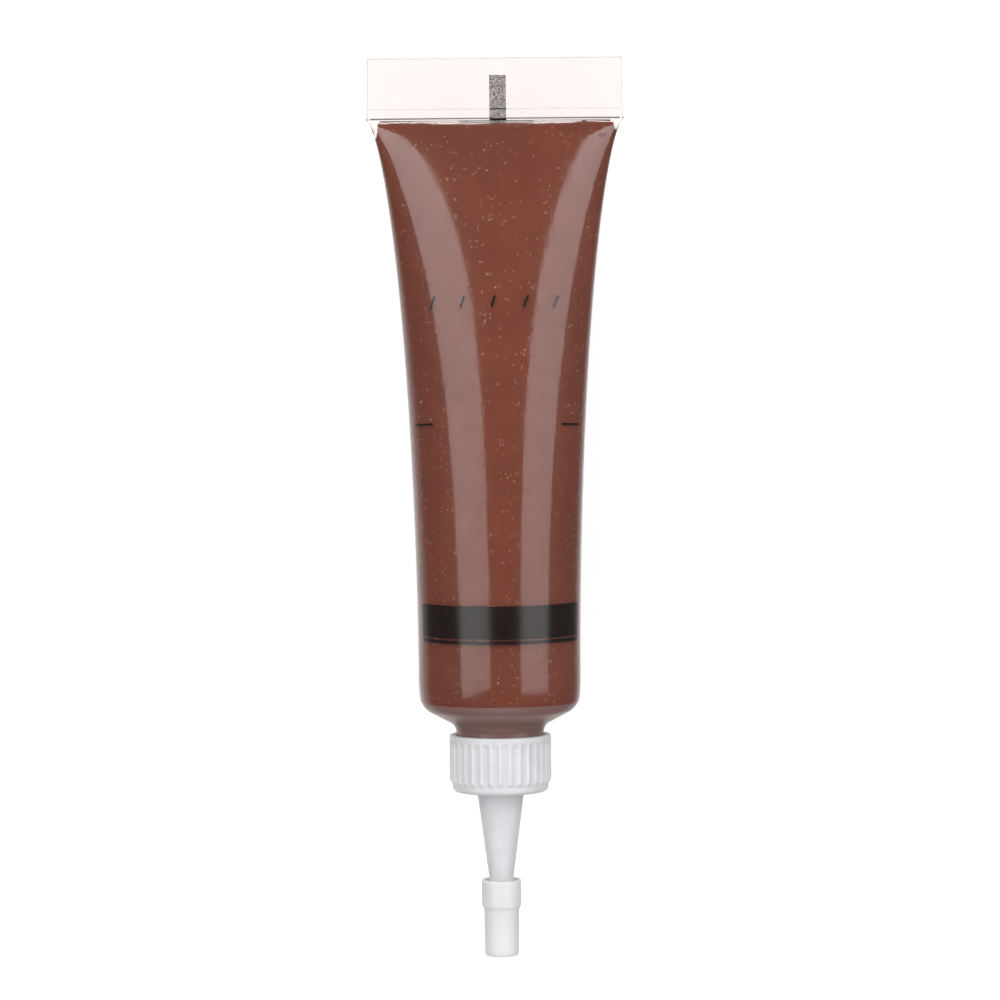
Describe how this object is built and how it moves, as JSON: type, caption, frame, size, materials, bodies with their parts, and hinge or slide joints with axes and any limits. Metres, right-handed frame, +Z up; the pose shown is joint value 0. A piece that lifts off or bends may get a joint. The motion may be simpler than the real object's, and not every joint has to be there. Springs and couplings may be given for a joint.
{
  "type": "wood repair paste tube",
  "caption": "Lying clear squeeze tube of brown wood repair paste with a flat pressed tail, a ribbed screw-on collar that holds a tapered spout, and a push-on cap over the spout's tip.",
  "frame": {"origin": "middle of the part's box, on the floor that the tube lies on", "axes": "+Y along the tube from the spout to the flat tail, +Z up, +X across the flat tail"},
  "size_m": [0.035, 0.1218, 0.0224],
  "materials": {
    "clear_film": "clear glossy polyethylene film with black print",
    "natural_plastic": "natural translucent moulded polyethylene",
    "walnut_paste": "thick opaque brown paste lying against the clear wall",
    "bare_foil": "bare foil",
    "white_plastic": "white moulded polyethylene with a satin surface",
    "cap_plastic": "slightly see-through white moulded polyethylene"
  },
  "bodies": {
    "tube": {"tube_sleeve": "clear_film", "tube_head": "natural_plastic", "repair_paste": "walnut_paste", "mouth_seal": "bare_foil"},
    "spout": {"nozzle_spout": "white_plastic"},
    "collar": {"nozzle_collar": "white_plastic"},
    "cap": {"tip_cap": "cap_plastic"}
  },
  "joints": [
    {"name": "nozzle_advance", "type": "slide", "parent": "tube", "child": "spout", "axis": [0, -0.9982, 0.0595], "range_m": [0, 0.0056]},
    {"name": "collar_turn", "type": "hinge", "parent": "spout", "child": "collar", "pos_m": [0, -0.0387, 0.01222], "axis": [0, -0.9982, 0.0595], "range_deg": [0, 1260]},
    {"name": "cap_pull", "type": "slide", "parent": "spout", "child": "cap", "axis": [0, -0.9982, 0.0595], "range_m": [0, 0.012]}
  ],
  "couplings": [
    {"joint": "collar_turn", "follows": "nozzle_advance", "rad_per_m": 3927}
  ]
}
